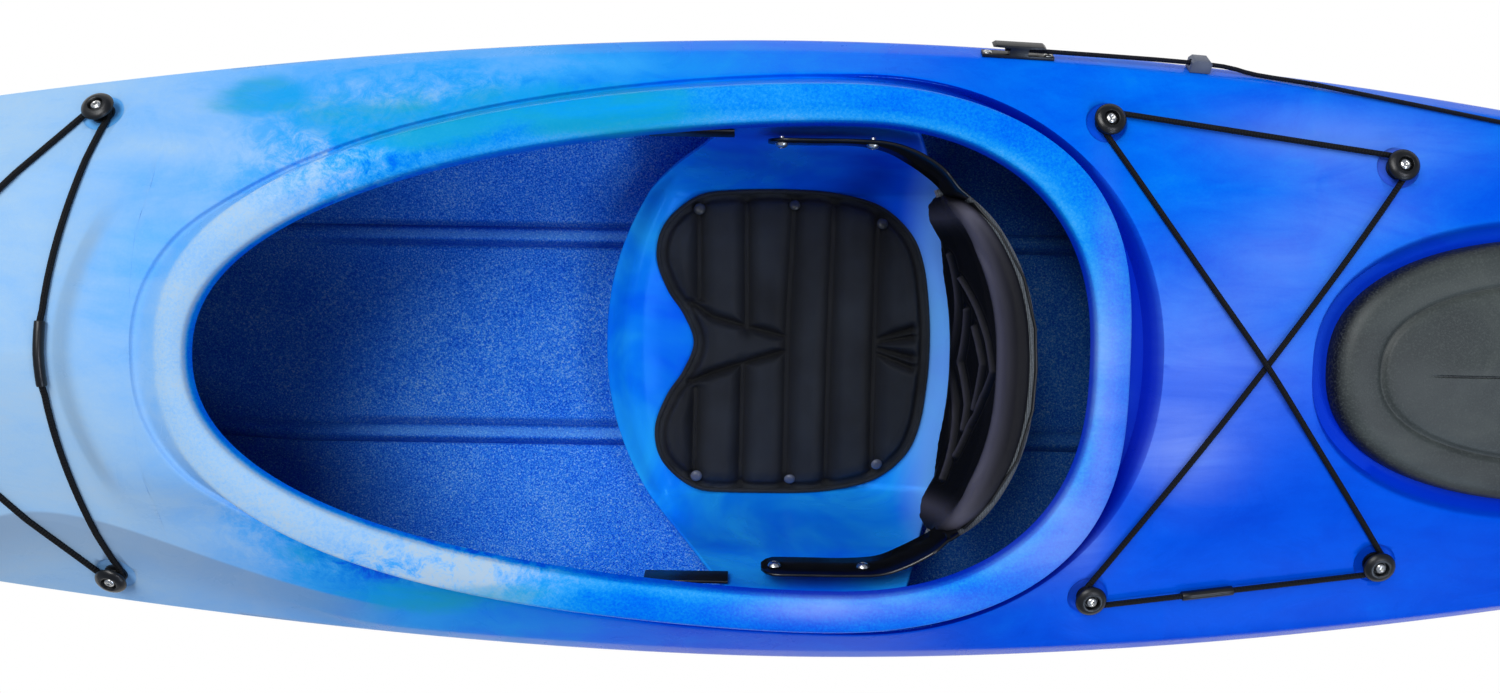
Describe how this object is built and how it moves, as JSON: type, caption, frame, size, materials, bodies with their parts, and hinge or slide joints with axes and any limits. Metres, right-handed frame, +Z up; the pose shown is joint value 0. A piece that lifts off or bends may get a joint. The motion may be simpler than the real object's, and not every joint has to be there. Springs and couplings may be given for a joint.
{
  "type": "touring kayak",
  "caption": "Sit-in touring kayak with an oval cockpit rim, moulded seat and pad, tilting backrest, foot braces, stretch-on rear hatch, elastic deck cords and a drop skeg.",
  "frame": {"origin": "under the middle of the overall length, on the flat of the keel", "axes": "+X to the stern, +Y to starboard, +Z up"},
  "size_m": [3.66, 0.622, 0.3448],
  "materials": {
    "hull_plastic": "moulded polyethylene in blue that fades to near white at the bow, satin gloss",
    "seat_plastic": "moulded plastic, royal blue, glossy",
    "pad_fabric": "charcoal woven cover, matt, with a speckled webbing edge",
    "hatch_rubber": "charcoal rubber, soft satin",
    "foam": "closed-cell foam, matt",
    "cord": "braided sheath, matt",
    "black_plastic": "moulded, fine satin",
    "stainless": "stainless steel, turned"
  },
  "bodies": {
    "hull": {"arm_bolt_port_front": "stainless", "arm_bolt_port_rear": "stainless", "arm_bolt_starboard_front": "stainless", "arm_bolt_starboard_rear": "stainless", "backrest_arm_port": "black_plastic", "backrest_arm_starboard": "black_plastic", "bow_float": "foam", "deck_knob_bow_port": "black_plastic", "deck_knob_bow_starboard": "black_plastic", "deck_knob_front_port": "black_plastic", "deck_knob_front_starboard": "black_plastic", "deck_knob_middle_port": "black_plastic", "deck_knob_middle_starboard": "black_plastic", "deck_knob_rear_port": "black_plastic", "deck_knob_rear_starboard": "black_plastic", "deck_knob_screw_bow_port": "stainless", "deck_knob_screw_bow_starboard": "stainless", "deck_knob_screw_front_port": "stainless", "deck_knob_screw_front_starboard": "stainless", "deck_knob_screw_middle_port": "stainless", "deck_knob_screw_middle_starboard": "stainless", "deck_knob_screw_rear_port": "stainless", "deck_knob_screw_rear_starboard": "stainless", "foot_rail_port": "black_plastic", "foot_rail_starboard": "black_plastic", "front_deck_cord": "cord", "front_deck_cord_splice": "black_plastic", "hull_shell": "hull_plastic", "rear_bulkhead": "foam", "rear_deck_cord": "cord", "rear_deck_cord_splice": "black_plastic", "seat_hanger_port": "black_plastic", "seat_hanger_starboard": "black_plastic", "seat_pad": "pad_fabric", "seat_pad_snap_1": "black_plastic", "seat_pad_snap_2": "black_plastic", "seat_pad_snap_3": "black_plastic", "seat_pad_snap_4": "black_plastic", "seat_pad_snap_5": "black_plastic", "seat_pad_snap_6": "black_plastic", "seat_shell": "seat_plastic", "skeg_box": "black_plastic", "skeg_cleat": "black_plastic", "skeg_cleat_screw_front": "stainless", "skeg_cleat_screw_rear": "stainless", "skeg_line": "cord", "skeg_line_guide": "black_plastic"},
    "hatch": {"hatch_cover": "hatch_rubber"},
    "backrest": {"backrest_pad": "pad_fabric", "backrest_pivot_port": "black_plastic", "backrest_pivot_starboard": "black_plastic", "backrest_plate": "black_plastic"},
    "foot_pedal_starboard": {"foot_pedal_starboard": "black_plastic"},
    "foot_pedal_port": {"foot_pedal_port": "black_plastic"},
    "skeg": {"skeg_blade": "black_plastic"}
  },
  "joints": [
    {"name": "hatch_lift", "type": "slide", "parent": "hull", "child": "hatch", "axis": [0, 0, 1], "range_m": [0, 0.12]},
    {"name": "backrest_tilt", "type": "hinge", "parent": "hull", "child": "backrest", "pos_m": [0.28528, 0, 0.256], "axis": [0, 1, 0], "range_deg": [-12, 12]},
    {"name": "foot_pedal_starboard_slide", "type": "slide", "parent": "hull", "child": "foot_pedal_starboard", "axis": [0.9877, 0.1561, 0], "range_m": [-0.12, 0.12]},
    {"name": "foot_pedal_port_slide", "type": "slide", "parent": "hull", "child": "foot_pedal_port", "axis": [0.9877, -0.1561, 0], "range_m": [-0.12, 0.12]},
    {"name": "skeg_drop", "type": "hinge", "parent": "hull", "child": "skeg", "pos_m": [1.257, 0, 0.03703], "axis": [0, 1, 0], "range_deg": [0, 60]}
  ]
}
